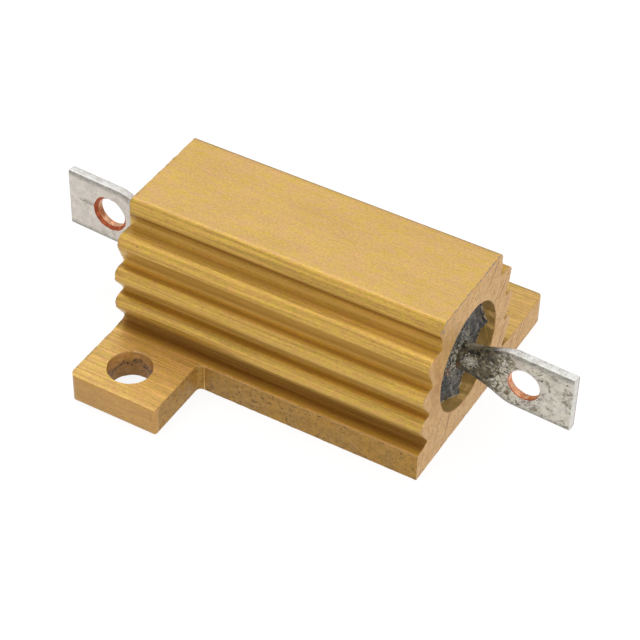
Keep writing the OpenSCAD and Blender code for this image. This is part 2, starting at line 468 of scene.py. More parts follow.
@dataclass(frozen=True)
class AnodisedExtrusion:
    """Gold anodised aluminium as it leaves the die: satin, with fine lines along the bar.

    The oxide over the drawn metal gives the eye a soft yellow satin that drifts between a greenish
    and a pinkish gold, with short streaks along the bar and brown specks. Brown lines under the
    fins are painted shade, with a little of the deeper dye that the hollows have, and the paler
    floors of the grooves are painted light.
    """

    name: str = "gold_anodised_aluminium_extruded"
    yellow: str = "#c09e40"
    pink: str = "#c2964e"
    brown: str = "#7a4a22"
    # painted shade under the fins and along the far top edge, with a little of the hollows' deeper
    # dye
    groove_dye_and_shade: str = "#6e4210"
    # painted light on the grooves' floors and under the fins
    painted_light: str = "#e6c470"
    roughness: float = 0.42
    metallic: float = 0.55
    streak_mm: float = 0.11  # width of the short streaks, drawn coarser than the real brushing
    streak_long: float = 4.0  # their length over their width
    streak: float = 0.20
    line_mm: float = 0.16  # spacing of the die lines, drawn coarser than the real ones
    line: float = 0.40
    cloud_mm: float = 0.34
    patch: float = 0.10
    grain: float = 0.22
    speck: float = 0.4

    def material(self) -> bpy.types.Material:
        """Builds the material.

        Returns:
            The material.
        """
        paint = Paint(self.name)
        streak = paint.grain(self.streak_mm, 3, 0.3, 0.7, (self.streak_long, 1, 1))
        grain = paint.grain(0.15, 3, 0.3, 0.7, (1.4, 1, 1))
        line = paint.grain(self.line_mm, 3, 0.34, 0.62, (60, 1, 1))
        cloud = paint.grain(self.cloud_mm, 5, 0.36, 0.62, (2.2, 1, 1))
        patch = paint.grain(2.6, 3, 0.3, 0.7, (2.5, 1, 1))
        speck = paint.grain(0.15, 1, 0.69, 0.76, (1.8, 1, 1))
        # painted light and shade laid along the section by Housing.marks_at: painted shade above 0,
        # painted light below 0
        depth = add(paint.tree, "ShaderNodeAttribute", attribute_name="depth").outputs["Fac"]
        skin = paint.toned(
            paint.over(self.yellow, (self.pink, cloud)),
            1 - (self.streak + self.line + self.patch + self.grain) / 2,
            (streak, self.streak), (line, self.line), (patch, self.patch), (grain, self.grain))
        skin = paint.over(
            skin,
            (self.painted_light, depth, -1.0),
            (self.groove_dye_and_shade, depth, paint.total(0.5, (line, 0.7), (streak, 0.3))),
            (self.brown, speck, self.speck))
        spread = paint.total(self.roughness - 0.06, (cloud, 0.12))
        height = paint.total(0.0, (streak, 0.5), (line, 0.7))
        return paint.finish(skin, spread, self.metallic, height, 0.5, 0.012)


class Cut(Enum):
    """How a machined face of the housing was cut."""

    SAWN = "sawn"
    MILLED = "milled"
    BORED = "bored"
    DRILLED = "drilled"


@dataclass(frozen=True)
class AnodisedCut:
    """Gold anodised aluminium where a tool cut it.

    The tool's marks under the oxide give the eye a paler, slightly pink matt gold with faint arcs
    on the sawn ends, a duller and pitted gold on the milled sides, and a brownish gold with a dark
    residue in the holes.
    """

    cut: Cut
    body: str
    pale: str
    dark: str
    mark_mm: float  # spacing of the tool's marks, drawn coarser than the real ones
    centre: Point  # centre of the tool's arcs
    pits: float
    roughness: float
    scored: float = 0.0  # strength of the deeper single arcs
    stain_at: Point = (0.0, 0.0, 0.0)
    stain_reach: Point = EVEN
    stain: str = "#a8732f"
    metallic: float = 0.35

    def material(self) -> bpy.types.Material:
        """Builds the material.

        Returns:
            The material.
        """
        paint = Paint("gold_anodised_aluminium_" + self.cut.value)
        marks = self.arcs(paint, self.mark_mm, 2.0, 0.6, 0.3, 0.6)
        score = self.arcs(paint, 1.3 * self.mark_mm, 1.0, 0.5, 0.62, 0.68)
        cloud = paint.grain(0.4, 6, 0.34, 0.64)
        grain = paint.grain(0.12, 3, 0.3, 0.7)
        tall = paint.grain(0.2, 3, 0.3, 0.7, (1, 1, 14))
        patch = paint.grain(2.2, 3, 0.44, 0.56)
        blotch = paint.grain(1.1, 5, 0.3, 0.6)
        pit = paint.grain(0.24, 4, 0.57, 0.66, (1, 1, 0.8))
        skin = paint.toned(paint.over(self.body, (self.pale, cloud)),
                           0.83, (marks, 0.10), (grain, 0.22), (tall, 0.06))
        skin = paint.over(
            skin,
            (self.dark, score, patch, self.scored),
            (self.stain, paint.near(self.stain_at, self.stain_reach), blotch, 0.8),
            (self.dark, pit, self.pits))
        if self.cut is Cut.DRILLED:
            skin = paint.over(skin, (self.dark, *self.residue(paint)))
        height = paint.total(0.0, (marks, 0.6), (grain, 0.4), (pit, -0.8))
        return paint.finish(skin, self.roughness, self.metallic, height, 0.6, 0.03)

    def arcs(self, paint: Paint, spacing: float, detail: float, roughness: float, low: float,
             high: float) -> Socket:
        """Lays uneven arcs round the tool's centre.

        Args:
            paint: the material in the making.
            spacing: mean distance from arc to arc.
            detail: number of finer layers.
            roughness: strength of each layer over the coarser one.
            low: value of the noise that gives 0.
            high: value of the noise that gives 1.

        Returns:
            A value from 0 to 1.
        """
        about = add(paint.tree, "ShaderNodeMapping", {
            "Vector": paint.coords, "Location": tuple(-c for c in self.centre),
            "Scale": (1 / MM,) * 3}).outputs[0]
        away = add(paint.tree, "ShaderNodeVectorMath", {0: about}, operation="LENGTH")
        pattern = add(paint.tree, "ShaderNodeTexNoise", {
            "W": away.outputs["Value"], "Scale": 1 / spacing, "Detail": detail,
            "Roughness": roughness}, noise_dimensions="1D").outputs["Fac"]
        return add(paint.tree, "ShaderNodeMapRange", {
            "Value": pattern, "From Min": low, "From Max": high}).outputs[0]

    def residue(self, paint: Paint) -> tuple[Socket, Socket]:
        """Lays dark residue on a hole's wall.

        Args:
            paint: the material in the making.

        Returns:
            Two values whose product is its share: a wandering tide line half way down with a
            little below it, and the specks that break both up.
        """
        tree = paint.tree
        height = add(tree, "ShaderNodeSeparateXYZ", {0: paint.coords}).outputs["Z"]
        wander = paint.grain(1.2, 3, 0.3, 0.7, (1, 1, 3))
        level = paint.total(-0.75, (height, 1 / MM), (wander, -1.1))
        away = add(tree, "ShaderNodeMath", {0: level}, operation="ABSOLUTE").outputs[0]
        line, below = (
            add(tree, "ShaderNodeMapRange", {
                "Value": value, "From Min": none, "From Max": full}).outputs[0]
            for value, none, full in ((away, 0.34, 0.1), (level, 0.1, -0.5)))
        crumbs = paint.grain(0.2, 4, 0.42, 0.62)
        return (paint.total(0.0, (line, 0.85), (below, 0.40)), paint.total(0.35, (crumbs, 0.8)))


@dataclass(frozen=True)
class WornEdge:
    """Aluminium laid bare along an edge, broken by what is left of the gold.

    It gives the eye a thin, dotted grey line round the ends of the housing, faint below its top.
    """

    name: str = "bare_aluminium_edge"
    metal: str = "#8d857a"
    gold: str = "#c4965a"
    dark: str = "#6d6253"

    def material(self) -> bpy.types.Material:
        """Builds the material.

        Returns:
            The material.
        """
        paint = Paint(self.name)
        height = add(paint.tree, "ShaderNodeSeparateXYZ", {0: paint.coords}).outputs["Z"]
        upper = add(paint.tree, "ShaderNodeMapRange", {
            "Value": height, "From Min": 12.2 * MM, "From Max": 13.0 * MM,
            "To Min": 0.25, "To Max": 1.0}).outputs[0]
        skin = paint.over(
            self.gold,
            (self.metal, upper, paint.grain(0.34, 3, 0.42, 0.54)),
            (self.dark, paint.grain(0.22, 2, 0.58, 0.68), 0.6))
        return paint.finish(skin, 0.45, 0.5)


@dataclass(frozen=True)
class MouldingCompound:
    """Filled silicone, poured and cured: matt, gritty and nearly black, with a pale dusty bloom.

    It gives the eye a near-black ground with warm grey smears, and chalky and olive patches that
    crowd round the neck of the terminal.
    """

    name: str = "black_moulding_compound"
    black: str = "#171816"
    blue: str = "#28282e"
    grey: str = "#8e887c"
    chalk: str = "#d2cab4"
    olive: str = "#5c5638"
    rust: str = "#8a4a28"
    neck_at: Point = (13.0, 0.0, 6.55)
    neck_reach: Point = (3.0, 2.6, 2.6)
    rust_at: Point = (12.7, -1.7, 6.0)
    rust_reach: Point = (0.8, 0.5, 0.6)

    def material(self) -> bpy.types.Material:
        """Builds the material.

        Returns:
            The material.
        """
        paint = Paint(self.name)
        film = add(paint.tree, "ShaderNodeAttribute", attribute_name="film").outputs["Fac"]
        lumps = paint.grain(0.5, 6, 0.3, 0.7)
        cloud = paint.grain(0.9, 5, 0.44, 0.56)
        smear = paint.grain(0.9, 9, 0.50, 0.68, stir=0.8)
        dirt = paint.grain(0.55, 7, 0.44, 0.60, stir=0.6)
        neck = paint.near(self.neck_at, self.neck_reach)
        fleck = add(paint.tree, "ShaderNodeMath", {
            0: paint.grain(0.2, 4, 0.52, 0.60), 1: paint.total(0.14, (neck, 0.8))},
            operation="MULTIPLY", use_clamp=True).outputs[0]
        skin = paint.over(
            self.black,
            (self.blue, cloud),
            (self.grey, smear, 0.85),
            (self.olive, dirt, neck),
            (self.chalk, fleck),
            (self.rust, paint.near(self.rust_at, self.rust_reach), dirt, 1.2),
            (self.chalk, film, paint.grain(0.22, 3, 0.40, 0.56)))
        height = paint.total(0.0, (lumps, 1.0), (fleck, 0.5))
        return paint.finish(skin, 0.62, 0.0, height, 0.9, 0.08)


@dataclass(frozen=True)
class TinnedCopper:
    """Hot dipped tin on drawn and flattened copper, stained where it leaves the compound.

    It gives the eye a pale mottled grey with a hint of green and pink and short dark strokes, a
    net of dark flux lines towards the neck, and black, olive and chalky blots on the neck. A
    near-white coat along the blade's narrow faces is a painted highlight.
    """

    name: str = "tinned_copper"
    tin: str = "#e0ddce"
    dull: str = "#c4c4b2"
    pink: str = "#c8bab8"
    brown: str = "#6f614a"
    pit: str = "#5c5244"
    black: str = "#23211a"
    olive: str = "#665d44"
    chalk: str = "#aa9e86"
    dust: str = "#a49a82"
    salt: str = "#cfc9ba"
    rust: str = "#824a2e"
    painted_light: str = "#eeeeec"
    worn: str = "#77756f"
    soiled: float = 1.0  # strength of the strokes and blotches away from the neck
    low_at: Point = (0.0, 0.0, 0.0)  # where brown blotches crowd together
    pits_at: Point = (0.0, 0.0, 0.0)  # where pits crowd together
    pits_reach: Point = (1.6, 2.0, 0.7)

    def material(self) -> bpy.types.Material:
        """Builds the material.

        Returns:
            The material.
        """
        paint = Paint(self.name)
        tree = paint.tree
        soot, band, rim = (
            add(tree, "ShaderNodeAttribute", attribute_name=mark).outputs["Fac"]
            for mark in ("soot", "band", "rim"))
        slanting = add(tree, "ShaderNodeMapping", {
            "Vector": paint.coords, "Rotation": (0, math.radians(35), 0)}).outputs[0]
        cloud = paint.grain(0.9, 6, 0.36, 0.62)
        hue = paint.grain(0.7, 5, 0.38, 0.62, stir=0.5)
        stroke = paint.grain(0.2, 4, 0.555, 0.65, (2.2, 1, 1), coords=slanting)
        patch = paint.grain(1.3, 3, 0.40, 0.60)
        blotch = paint.grain(0.6, 6, 0.52, 0.66, stir=0.4)
        fine = paint.grain(0.13, 2, 0.45, 0.58)
        stirred = paint.grain(0.45, 6, 0.28, 0.72, stir=0.7)
        specks = paint.grain(0.16, 3, 0.3, 0.7)
        net = self.net(paint)
        crowd = paint.near(self.pits_at, self.pits_reach)
        low = paint.near(self.low_at, (3.0, 2.0, 1.4))
        dark = add(tree, "ShaderNodeMapRange", {
            "Value": paint.total(-1.46, (soot, 1.6), (stirred, 1.1), (specks, 0.4)),
            "From Min": 0.0, "From Max": 0.3}).outputs[0]
        skin = paint.over(
            self.dull,
            (self.tin, cloud),
            (self.pink, hue, 0.5),
            (self.brown, blotch, paint.total(0.75 * self.soiled, (low, 0.9 * self.soiled))),
            (self.pit, paint.total(0.15, (crowd, 1.0), (patch, 0.85)), self.soiled, stroke),
            (self.pit, crowd, fine, 0.75),
            (self.olive, paint.total(-1.25, (soot, 3.3), (stirred, 1.6)), net, 0.9),
            (self.blots(paint, stirred, specks), dark),
            # painted highlight: a near-white coat along the blade's narrow top and bottom faces
            (self.painted_light, band, paint.total(0.1, (cloud, 0.5), (specks, 0.6))),
            (self.worn, rim, paint.total(0.35, (specks, 0.5))))
        metal = add(tree, "ShaderNodeMapRange", {
            "Value": dark, "To Min": 0.55, "To Max": 0.0}).outputs[0]
        spread = paint.total(0.36, (cloud, 0.14), (dark, 0.2))
        height = paint.total(0.0, (cloud, 0.5), (stirred, 0.5), (net, -0.4))
        return paint.finish(skin, spread, metal, height, 0.6, 0.03)

    def blots(self, paint: Paint, stirred: Socket, specks: Socket) -> Socket:
        """Gives the colour of the neck: black and olive, chalky in places, with one rusty spot.

        Args:
            paint: the material in the making.
            stirred: its coarse pattern.
            specks: its fine pattern.

        Returns:
            The colour.
        """
        return paint.over(
            self.black,
            (self.olive, paint.grain(0.38, 5, 0.42, 0.60)),
            (self.chalk, paint.grain(0.34, 6, 0.53, 0.70, stir=0.4)),
            (self.dust, paint.near((13.9, 0.35, 7.6), (1.15, 0.9, 0.7)), stirred, 1.6),
            (self.salt, paint.near((13.95, -1.0, 7.0), (0.9, 0.8, 0.8)),
             paint.total(-1.1, (specks, 3.0))),
            (self.rust, paint.near((13.1, -1.1, 6.5), (0.34, 0.4, 0.34)), stirred, 1.2))

    def net(self, paint: Paint, mesh_mm: float = 0.58, bend: float = 0.65) -> Socket:
        """Lays a net of thin crooked lines.

        Args:
            paint: the material in the making.
            mesh_mm: width of the net's meshes.
            bend: how far its lines stray, over a mesh.

        Returns:
            A value from 0 to 1, which is 1 on the lines.
        """
        tree = paint.tree
        cells = add(tree, "ShaderNodeMapping", {
            "Vector": paint.coords, "Scale": (1 / (mesh_mm * MM),) * 3}).outputs[0]
        stray = add(tree, "ShaderNodeTexNoise", {
            "Vector": cells, "Scale": 1.6, "Detail": 4.0}).outputs["Color"]
        bent = add(tree, "ShaderNodeVectorMath", {0: stray, 1: (bend,) * 3, 2: cells},
                   operation="MULTIPLY_ADD").outputs[0]
        cell = add(tree, "ShaderNodeTexVoronoi", {"Vector": bent, "Scale": 1.0},
                   feature="DISTANCE_TO_EDGE")
        return add(tree, "ShaderNodeMapRange", {
            "Value": cell.outputs["Distance"], "From Min": 0.13, "From Max": 0.0}).outputs[0]


@dataclass(frozen=True)
class PlainFinish:
    """A finish of two close tones in a fine grain, for small and hidden pieces.

    It gives the eye a surface that is not quite even, in the tones of the material it names.
    """

    name: str
    light: str
    dark: str
    roughness: float
    metallic: float
    grain_mm: float

    def material(self) -> bpy.types.Material:
        """Builds the material.

        Returns:
            The material.
        """
        paint = Paint(self.name)
        grain = paint.grain(self.grain_mm, 5, 0.35, 0.65)
        skin = paint.over(self.dark, (self.light, grain))
        return paint.finish(skin, self.roughness, self.metallic, grain, 0.4, 0.02)


# ------------------------------------------------------------------ housing


class Face(IntEnum):
    """The kinds of face of the housing, in the order of its materials."""

    TOP = 0
    FLANK = 1
    SAWN = 2
    MILLED = 3
    WORN = 4
    BORED = 5
    DRILLED = 6
    FLANGE = 7
    TAB_SIDE = 8


def outline_normals(outline: np.ndarray) -> np.ndarray:
    """Gives the outward normals of a closed outline that runs counter-clockwise.

    Args:
        outline: its points, one a row.

    Returns:
        One unit normal a row.
    """
    along = np.roll(outline, -1, 0) - np.roll(outline, 1, 0)
    normal = np.stack([along[:, 1], -along[:, 0]], 1)
    return normal / np.linalg.norm(normal, axis=1, keepdims=True)


@dataclass
class Housing:
    """The extruded housing: a finned bar, bored and drilled, its flange milled back to two tabs.

    In its methods, turn is 1 for the tab at the right-hand end and -1 for the one at the left.
    """

    node: str = "housing"
    base_w: float = 15.1
    flange_t: float = 2.5
    top_w: float = 9.6
    top_edge_r: float = 0.5
    rib_lean: float = 0.1  # how far the top rib leans in above its nose
    bore_d: float = 8.9
    bore_z: float = 6.55
    fin_top: tuple[float, ...] = (10.95, 8.15, 5.5)
    fin_reach: tuple[float, ...] = (6.57, 7.2, 7.25)
    fin_nose_drop: tuple[float, ...] = (0.85, 0.8, 0.85)
    groove_y: tuple[float, ...] = (4.7, 5.85, 6.1, 6.15)
    groove_floor: float = 0.25
    shoulder_r: float = 0.75
    nose_r: float = 0.3
    tab_l: float = 7.8
    tab_edge_r: float = 0.25
    tab_corner_r: float = 0.45  # where a tab meets the base
    end_corner_r: float = 0.8  # upright corner at a tab's outer end
    side_corner_r: float = 0.35  # upright corner at its inner end
    hole_d: float = 3.54
    hole_from_end: float = 3.55
    hole_from_side: float = 3.13
    point_gap: float = 0.17  # longest step along the section's outline
    sections: int = 46  # sections along the bar
    wear: float = 0.045  # mean width of the broken edges
    wear_least: float = 0.25  # narrowest and widest place of such an edge, over its mean
    wear_most: float = 7.0
    size: Vector = field(init=False)

    def __post_init__(self) -> None:
        """Takes the bar's length, span and height from the frame."""
        low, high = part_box(self.node)
        self.size = (high - low) / MM

    @property
    def half_l(self) -> float:
        """Half of the bar's length."""
        return self.size.x / 2

    @property
    def hole(self) -> Flat:
        """The place of the right-hand tab's hole."""
        return self.half_l - self.hole_from_end, self.size.y / 2 - self.hole_from_side

    def fin(self, k: int, foot: Flat) -> list[Flat]:
        """Gives one fin's outline, from the groove under it to the groove over it.

        Args:
            k: the fin's number, top fin first.
            foot: the point where its underside starts.

        Returns:
            The points, as (y, z).
        """
        nose = (self.fin_reach[k] - self.nose_r, self.fin_top[k] - self.fin_nose_drop[k])
        sy, sz = self.fin_reach[k] - self.shoulder_r, self.fin_top[k] - self.shoulder_r
        lift = max(0.0, math.degrees(math.asin((nose[1] - sz) / self.shoulder_r)))
        return [
            foot,
            *arc(*nose, self.nose_r, self.touch_angle(foot, nose), 0, 6),
            *arc(sy, sz, self.shoulder_r, lift, 90, 8),
            (self.groove_y[k], self.fin_top[k]),
        ]

    def touch_angle(self, foot: Flat, centre: Flat) -> float:
        """Gives the angle, in degrees, at which a line from foot touches a nose from below."""
        dy, dz = centre[0] - foot[0], centre[1] - foot[1]
        return math.degrees(math.atan2(dz, dy) - math.asin(self.nose_r / math.hypot(dy, dz))) - 90

    def outline(self) -> np.ndarray:
        """Gives the whole section's outline before milling.

        Returns:
            Its points, close together, one a row.
        """
        span, g, t, r = self.size.y / 2, self.groove_floor, self.flange_t, self.tab_edge_r
        foot = (self.groove_y[0], self.fin_top[0] + 3 * g)
        nose = (self.top_w / 2 - self.nose_r, foot[1] + 2 * g)
        top_edge = (self.top_w / 2 - self.rib_lean - self.top_edge_r,
                    self.size.z - self.top_edge_r, self.top_edge_r)
        half = [
            (0.0, 0.0),
            *arc(span - r, r, r, -90, 0, 4),
            *arc(span - r, t - r, r, 0, 90, 4),
            (self.base_w / 2, t),
            (self.groove_y[3] + g, t + g / 2),
            (self.groove_y[3], t + g),
            *self.fin(2, (self.groove_y[3], t + 2 * g)),
            *self.fin(1, (self.groove_y[2], self.fin_top[2] + g)),
            *self.fin(0, (self.groove_y[1], self.fin_top[1] + g)),
            foot,
            *arc(*nose, self.nose_r, self.touch_angle(foot, nose), 0, 6),
            *arc(*top_edge, 0, 90, 6),
            (0.0, self.size.z),
        ]
        whole = half + [(-y, z) for y, z in half[-2:0:-1]]
        points: list[Flat] = []
        for a, b in zip(whole, whole[1:] + whole[:1]):
            steps = max(1, math.ceil(math.dist(a, b) / self.point_gap))
            points += [(mix(a[0], b[0], i / steps), mix(a[1], b[1], i / steps))
                       for i in range(steps)]
        return np.array(points)

    def stations(self, outline: np.ndarray) -> list[float]:
        """Sweeps the section along the bar in a geometry tree, and reads where it stands.

        Args:
            outline: the section.

        Returns:
            The places along the bar, from end to end without the worn edges.
        """
        count = len(outline)
        ring = mesh_object("section", [(y, z, 0.0) for y, z in outline], [])
        ring.data.edges.add(count)
        ends = [n for i in range(count) for n in (i, (i + 1) % count)]
        ring.data.edges.foreach_set("vertices", ends)
        ring.data.update()
        tree, given, result = new_tree("drawn_bar", {
            "Length": "NodeSocketFloat", "Steps": "NodeSocketInt"})
        tips = []
        for share in (-0.5, 0.5):
            half = add(tree, "ShaderNodeMath", {0: given.outputs["Length"], 1: share},
                       operation="MULTIPLY").outputs[0]
            tips.append(add(tree, "ShaderNodeCombineXYZ", {"Z": half}).outputs[0])
        line = add(tree, "GeometryNodeCurvePrimitiveLine", {"Start": tips[0], "End": tips[1]})
        path = add(tree, "GeometryNodeResampleCurve", {
            "Curve": line.outputs[0], "Count": given.outputs["Steps"]}).outputs[0]
        section = add(tree, "GeometryNodeMeshToCurve", {"Mesh": given.outputs["Geometry"]})
        swept = add(tree, "GeometryNodeCurveToMesh", {
            "Curve": path, "Profile Curve": section.outputs[0]}).outputs[0]
        tree.links.new(swept, result.inputs[0])
        room = (self.wear_most + 0.5) * self.wear
        run_tree(ring, tree, {"Length": (self.size.x - 2 * room) * MM, "Steps": self.sections})
        places = {round(v.co.z / MM, 4) for v in ring.data.vertices}
        bpy.data.objects.remove(ring)
        return sorted(places)

    def worn_end(self, outline: np.ndarray, turn: int) -> list[list[Point]]:
        """Gives one end's uneven broken edge.

        Args:
            outline: the section.
            turn: which end.

        Returns:
            Its two rings, outermost first.
        """
        face = turn * self.half_l
        edge = [(face, *(p - n * self.wear_at((face, *p), 0.0)))
                for p, n in zip(outline, outline_normals(outline))]
        behind = [(turn * (self.half_l - self.wear_at((turn, *p), 1.3)), *p) for p in outline]
        return [edge, behind]

    def bar(self) -> Object:
        """Builds the closed bar over its stations, with worn ends.

        Returns:
            The bar.
        """
        outline = self.outline()
        middle = [[(x, *p) for p in outline] for x in self.stations(outline)]
        ends = [self.worn_end(outline, turn) for turn in (-1, 1)]
        return lofted("housing_skin", [*ends[0], *middle, *reversed(ends[1])])

    def wear_at(self, point: Sequence[float], seed: float) -> float:
        """Gives the width of the broken edge at a point.

        Args:
            point: a place on the edge.
            seed: moves the pattern from one edge to the next.

        Returns:
            The width: ragged, nicked, and wider on the noses of the fins.
        """
        fine = 0.8 * rough(point, 0.3, 3.1 + seed)
        nick = max(0.0, rough(point, 0.9, 7.7 + seed) - 0.3) * 2.2
        noses = [(self.top_w / 2, self.size.z - 0.9)]
        noses += [(y, z - d) for y, z, d in zip(self.fin_reach, self.fin_top, self.fin_nose_drop)]
        gap = min(math.dist((abs(point[1]), point[2]), nose) for nose in noses)
        knock = 5.0 * ease(1 - gap / 0.7) * max(0.0, 0.4 + rough(point, 0.7, 1.9))
        if abs(point[2] - self.size.z) < 0.1 and abs(point[1]) < self.top_w / 2 - 0.7:
            fine += 0.5 + 0.9 * rough(point, 0.3, 4.4)
        return self.wear * min(self.wear_most, max(self.wear_least, 0.8 + fine + nick + knock))

    def mill_away(self, body: Object, turn: int, far: float = 2.0) -> None:
        """Mills the flange away beside one tab, with a round inner corner and broken edges.

        Args:
            body: the bar.
            turn: which tab.
            far: how far the cutter passes the bar.
        """
        r, outer, edge = self.tab_corner_r, self.side_corner_r, self.size.y / 2
        x0, x1 = -self.half_l - far, self.half_l - self.tab_l
        y0, y1 = self.base_w / 2, edge + far
        plan = [
            # the straight stops 0.1 mm short of the round corner, so that face_of can paint that
            # strip as a highlight
            *((mix(x0, x1 - r - 0.1, i / 60), y0) for i in range(61)),
            *arc(x1 - r, y0 + r, r, -90, 0, 8),
            *((x1, mix(y0 + r, edge - outer, i / 24)) for i in range(1, 24)),
            *arc(x1 + outer, edge - outer, outer, 180, 90, 6),
            (x1 + outer, y1),
            (x0, y1),
        ]
        normal = outline_normals(np.array(plan))
        t, w = self.flange_t, self.wear
        rings = []
        for z, out in ((-far, 1), (0.0, 1), (w, 0), (t - w, 0), (t, 1), (self.size.z + far, 1)):
            grown = [out * self.wear_at((*p, z), 5.6) for p in plan]
            rings.append([(turn * (x + n[0] * grow), turn * (y + n[1] * grow), z)
                          for (x, y), n, grow in zip(plan, normal, grown)])
        carve(body, lofted("mill", rings))

    def drill(self, body: Object, turn: int, far: float = 1.0) -> None:
        """Drills one tab's hole, with a broken rim on both faces.

        Args:
            body: the bar.
            turn: which tab.
            far: how far the drill passes the tab.
        """
        x, y = (turn * c for c in self.hole)
        r, t, w = self.hole_d / 2, self.flange_t, self.wear
        rings = []
        for z, out in ((-far, 1), (0.0, 1), (w, 0), (t / 2, 0), (t - w, 0), (t, 1), (t + far, 1)):
            grown = [(c, s, r + out * self.wear_at((x + c, y + s, z), 9.0))
                     for c, s in circle(96)]
            rings.append([(x + grow * c, y + grow * s, z) for c, s, grow in grown])
        carve(body, lofted("drill", rings))

    def ease_corner(self, body: Object, turn: int, far: float = 1.0) -> None:
        """Rounds the upright corner at one tab's outer end.

        Args:
            body: the bar.
            turn: which tab.
            far: how far the cutter passes the tab.
        """
        x, y, r = self.half_l, self.size.y / 2, self.end_corner_r
        plan = [(x + far, y + far), (x - r, y + far),
                *reversed(arc(x - r, y - r, r, 0, 90, 8)), (x + far, y - r)]
        carve(body, lofted("file", [
            [(turn * u, turn * v, z) for u, v in plan] for z in (-far, self.flange_t + far)]))

    def bore(self, body: Object) -> None:
        """Bores the bar from end to end, with a broken rim at both mouths.

        Args:
            body: the bar.
        """
        r, w, h = self.bore_d / 2, self.wear, self.half_l
        rings = []
        for x, out in ((-h - 1, 1), (-h, 1), (-h + w, 0), (0.0, 0), (h - w, 0), (h, 1), (h + 1, 1)):
            grown = [(c, s, r + out * self.wear_at((x, 3 * c, 3 * s), 11.0))
                     for c, s in circle(144)]
            rings.append([(x, grow * c, self.bore_z + grow * s) for c, s, grow in grown])
        carve(body, lofted("boring_bar", rings))

    def face_of(self, centre: Vector, normal: Vector) -> Face:
        """Tells which kind of face a face is.

        Args:
            centre: its middle.
            normal: its outward normal.

        Returns:
            The kind.
        """
        x, y, z = centre
        near_end = abs(abs(x) - self.half_l) < self.wear_most * self.wear
        if near_end and abs(normal.x) > 0.97:
            return Face.SAWN
        if near_end and abs(normal.x) > 0.15:
            return Face.WORN
        if math.hypot(y, z - self.bore_z) < self.bore_d / 2 + 0.1 and abs(normal.x) < 0.5:
            return Face.BORED
        if z >= self.flange_t + 0.01:
            return Face.TOP if z > self.size.z - 0.02 else Face.FLANK
        turn = 1 if x > 0 else -1
        hole = (turn * self.hole[0], turn * self.hole[1])
        if math.dist(hole, (x, y)) < self.hole_d / 2 + 0.1 and abs(normal.z) < 0.9:
            return Face.DRILLED if abs(normal.z) < 0.3 else Face.WORN
        # painted highlight: a thin upright strip of the milled side just before the round inner
        # corner gets the paler top gold
        highlight_strip = self.half_l - self.tab_l - self.tab_corner_r - (1 if y > 0 else -1) * x
        if abs(abs(y) - self.base_w / 2) < 0.02 and 0 < highlight_strip < 0.12 and z > 0.1:
            return Face.TOP
        if abs(y) < self.size.y / 2 - 2 * self.tab_edge_r and abs(normal.z) < 0.95:
            return Face.MILLED if abs(normal.z) < 0.1 else Face.WORN
        if normal.z > 0.95:
            return Face.FLANGE
        return Face.TAB_SIDE if abs(y) > self.size.y / 2 - 0.5 else Face.FLANK

    def finishes(self) -> dict[Face, AnodisedExtrusion | AnodisedCut | WornEdge]:
        """Lists the finish of each kind of face.

        Returns:
            The finishes, in the order of the faces.
        """
        stain_at = (self.half_l, -self.bore_d / 2 - 0.7, self.bore_z + 0.6)
        # The top and the flange's top get a paler gold than the flanks, and the tabs' outer sides a
        # darker one: painted light and shade over one oxide. Their finer or stronger lines are
        # their own finish.
        return {
            Face.TOP: AnodisedExtrusion(
                "gold_anodised_aluminium_top", yellow="#dab559", pink="#dbaf74", streak=0.18,
                line=0.06, cloud_mm=0.4, roughness=0.46, metallic=0.5, speck=0.3,
                streak_long=1.7),
            Face.FLANK: AnodisedExtrusion(),
            Face.SAWN: AnodisedCut(
                Cut.SAWN, "#bb8e50", "#cfa76e", "#84501f", mark_mm=0.26,
                centre=(0.0, 26.0, -8.0), pits=0.6, roughness=0.5, scored=0.6,
                stain_at=stain_at, stain_reach=(1.0, 1.6, 3.4)),
            Face.MILLED: AnodisedCut(
                Cut.MILLED, "#987025", "#ae8438", "#4a2c0e", mark_mm=0.5,
                centre=(4.0, -20.0, -10.0), pits=0.85, roughness=0.5),
            Face.WORN: WornEdge(),
            Face.BORED: AnodisedCut(
                Cut.BORED, "#bc964e", "#d2ac68", "#7a5c2c", mark_mm=0.4,
                centre=(0.0, 0.0, 0.0), pits=0.3, roughness=0.4),
            Face.DRILLED: AnodisedCut(
                Cut.DRILLED, "#b07c38", "#c6944a", "#3c2410", mark_mm=0.5,
                centre=(0.0, 0.0, 30.0), pits=0.3, roughness=0.45),
            Face.FLANGE: AnodisedExtrusion(
                "gold_anodised_aluminium_flange", yellow="#d5b25c", pink="#d8ab6a", streak=0.12,
                line=0.46, line_mm=0.12, metallic=0.6),
            Face.TAB_SIDE: AnodisedExtrusion(
                "gold_anodised_aluminium_side", yellow="#b9914a", pink="#bb8c52", streak=0.12,
                line=0.12, metallic=0.5),
        }

